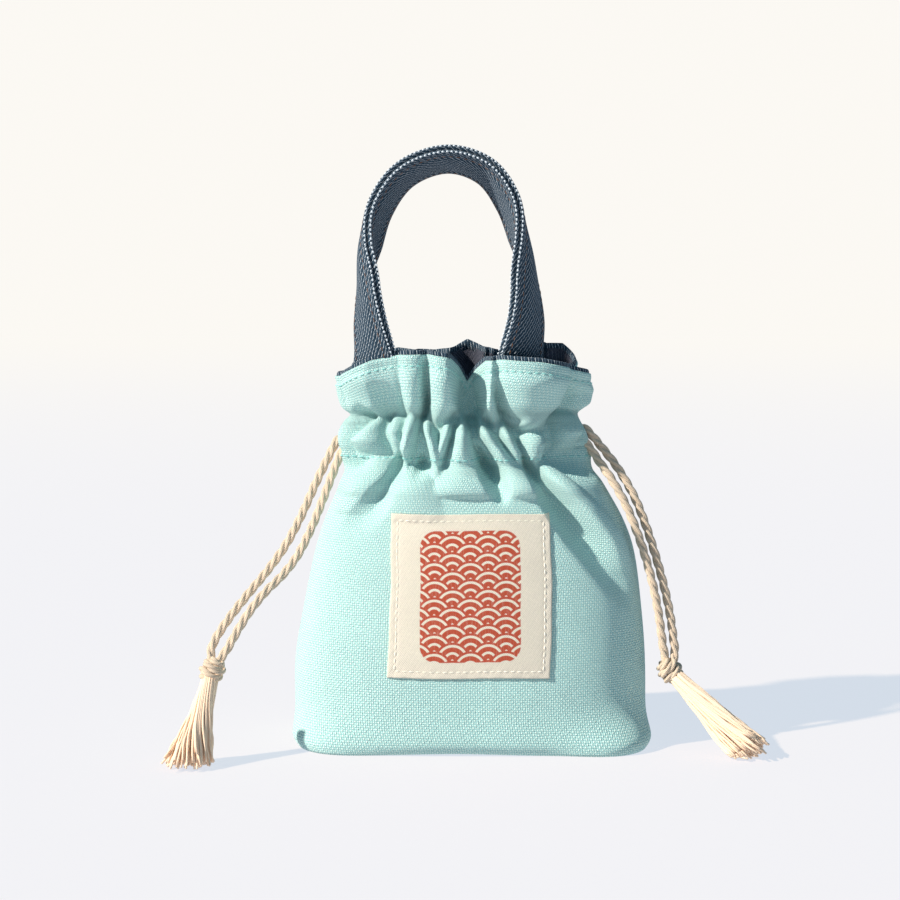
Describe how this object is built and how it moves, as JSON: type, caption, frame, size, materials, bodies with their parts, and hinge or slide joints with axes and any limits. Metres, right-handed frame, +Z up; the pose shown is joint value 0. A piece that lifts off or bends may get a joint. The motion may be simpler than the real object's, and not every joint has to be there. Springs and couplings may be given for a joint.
{
  "type": "kinchaku drawstring pouch",
  "caption": "Small upright canvas pouch with a denim lining, one denim strap handle, a square front patch and knotted cotton drawstrings with tassels.",
  "frame": {"origin": "middle of the pouch's footprint, on the surface that it stands on, measured without the free cords", "axes": "+Z up, +X to the right seen from the front, -Y out of the front panel with the patch"},
  "size_m": [0.2139, 0.0935, 0.2269],
  "materials": {
    "mint_canvas": "plain-weave cotton canvas, slightly fuzzy",
    "denim_lining": "dark denim, matt",
    "strap_denim": "indigo denim twill, folded and topstitched",
    "cream_twill": "fine cotton twill with a rust-red printed pattern",
    "cotton_cord": "natural twisted cotton"
  },
  "bodies": {
    "root": {"outer_front_panel": "mint_canvas", "outer_back_panel": "mint_canvas", "lining_front_panel": "denim_lining", "lining_back_panel": "denim_lining", "handle_strap": "strap_denim", "front_patch": "cream_twill", "left_cord_casing_run": "cotton_cord", "left_cord_front_strand": "cotton_cord", "left_cord_back_strand": "cotton_cord", "left_knot": "cotton_cord", "left_tassel": "cotton_cord", "right_cord_casing_run": "cotton_cord", "right_cord_front_strand": "cotton_cord", "right_cord_back_strand": "cotton_cord", "right_knot": "cotton_cord", "right_tassel": "cotton_cord"}
  },
  "joints": []
}
